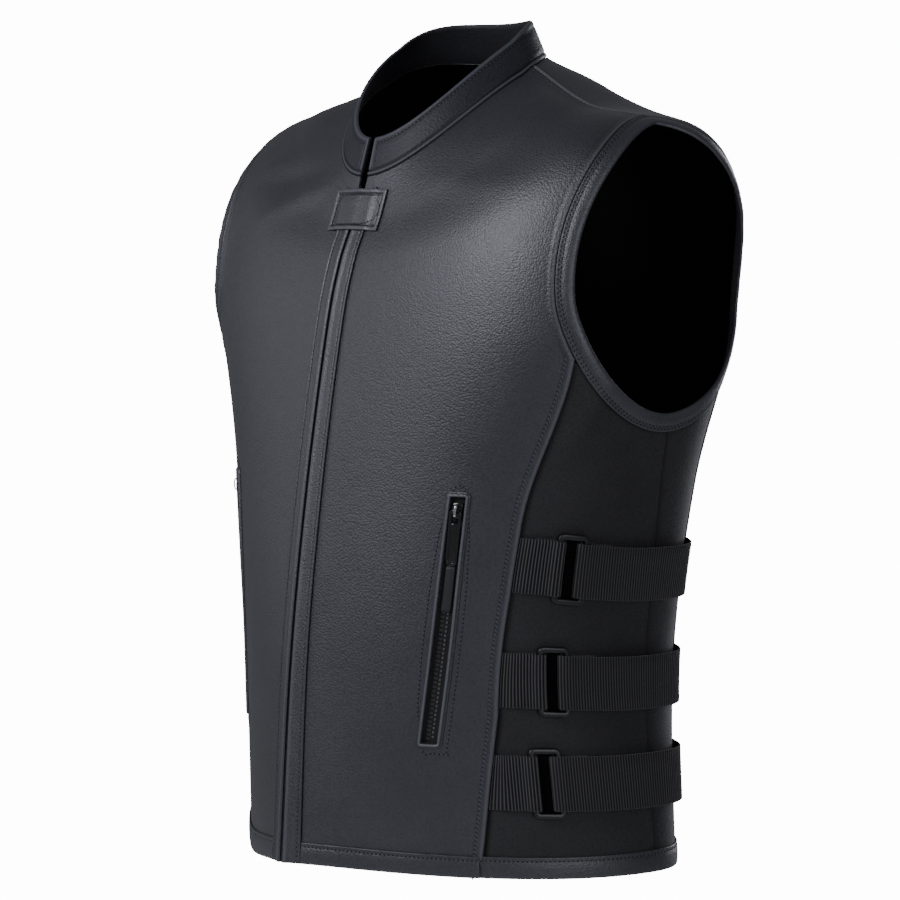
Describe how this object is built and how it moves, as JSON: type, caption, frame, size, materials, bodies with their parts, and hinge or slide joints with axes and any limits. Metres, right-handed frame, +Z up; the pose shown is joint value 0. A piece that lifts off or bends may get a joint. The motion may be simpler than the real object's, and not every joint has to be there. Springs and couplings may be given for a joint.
{
  "type": "leather vest",
  "caption": "Sleeveless zip-front leather vest with a band collar, slanted zip pockets and buckled webbing side straps, open and hollow as worn.",
  "frame": {"origin": "middle of the neck opening, level with the highest point of the shoulder seams at the neck", "axes": "+Z up, -Y the way the front faces, +X the wearer's left"},
  "size_m": [0.4632, 0.3023, 0.627],
  "materials": {
    "leather": "black pebbled leather, soft sheen",
    "side_leather": "black smooth leather, dull",
    "webbing": "black ribbed webbing",
    "buckle_plastic": "black moulded plastic",
    "zip_tape": "black woven zip tape",
    "zip_metal": "black enamelled metal"
  },
  "bodies": {
    "root": {"front_left": "leather", "front_right": "leather", "back": "leather", "side_front_left": "side_leather", "side_front_right": "side_leather", "side_back_left": "side_leather", "side_back_right": "side_leather", "armhole_binding_left": "leather", "armhole_binding_right": "leather", "collar": "leather", "hem_front_left": "leather", "hem_front_right": "leather", "hem_back": "leather", "hem_side_front_left": "side_leather", "hem_side_front_right": "side_leather", "hem_side_back_left": "side_leather", "hem_side_back_right": "side_leather", "front_edge_left": "leather", "front_edge_right": "leather", "centre_zip_tape": "zip_tape", "neck_tab": "leather", "pocket_welt_left": "leather", "pocket_welt_right": "leather", "pocket_zip_tape_left": "zip_tape", "pocket_zip_tape_right": "zip_tape", "pocket_slider_left": "zip_metal", "pocket_slider_right": "zip_metal", "pocket_crown_left": "zip_metal", "pocket_crown_right": "zip_metal", "upper_strap_front_left": "webbing", "upper_strap_front_right": "webbing", "middle_strap_front_left": "webbing", "middle_strap_front_right": "webbing", "lower_strap_front_left": "webbing", "lower_strap_front_right": "webbing", "upper_strap_rear_left": "webbing", "upper_strap_rear_right": "webbing", "middle_strap_rear_left": "webbing", "middle_strap_rear_right": "webbing", "lower_strap_rear_left": "webbing", "lower_strap_rear_right": "webbing", "upper_buckle_left": "buckle_plastic", "upper_buckle_right": "buckle_plastic", "middle_buckle_left": "buckle_plastic", "middle_buckle_right": "buckle_plastic", "lower_buckle_left": "buckle_plastic", "lower_buckle_right": "buckle_plastic"},
    "pull_left": {"pocket_pull_left": "zip_metal", "pocket_pull_tag_left": "zip_tape"},
    "pull_right": {"pocket_pull_right": "zip_metal", "pocket_pull_tag_right": "zip_tape"}
  },
  "joints": [
    {"name": "pull_swing_left", "type": "hinge", "parent": "root", "child": "pull_left", "pos_m": [0.13603, -0.11378, -0.31441], "axis": [-0.8645, -0.4837, 0.1368], "range_deg": [0, 150]},
    {"name": "pull_swing_right", "type": "hinge", "parent": "root", "child": "pull_right", "pos_m": [-0.13603, -0.11378, -0.31441], "axis": [-0.8645, 0.4837, -0.1368], "range_deg": [0, 150]}
  ]
}
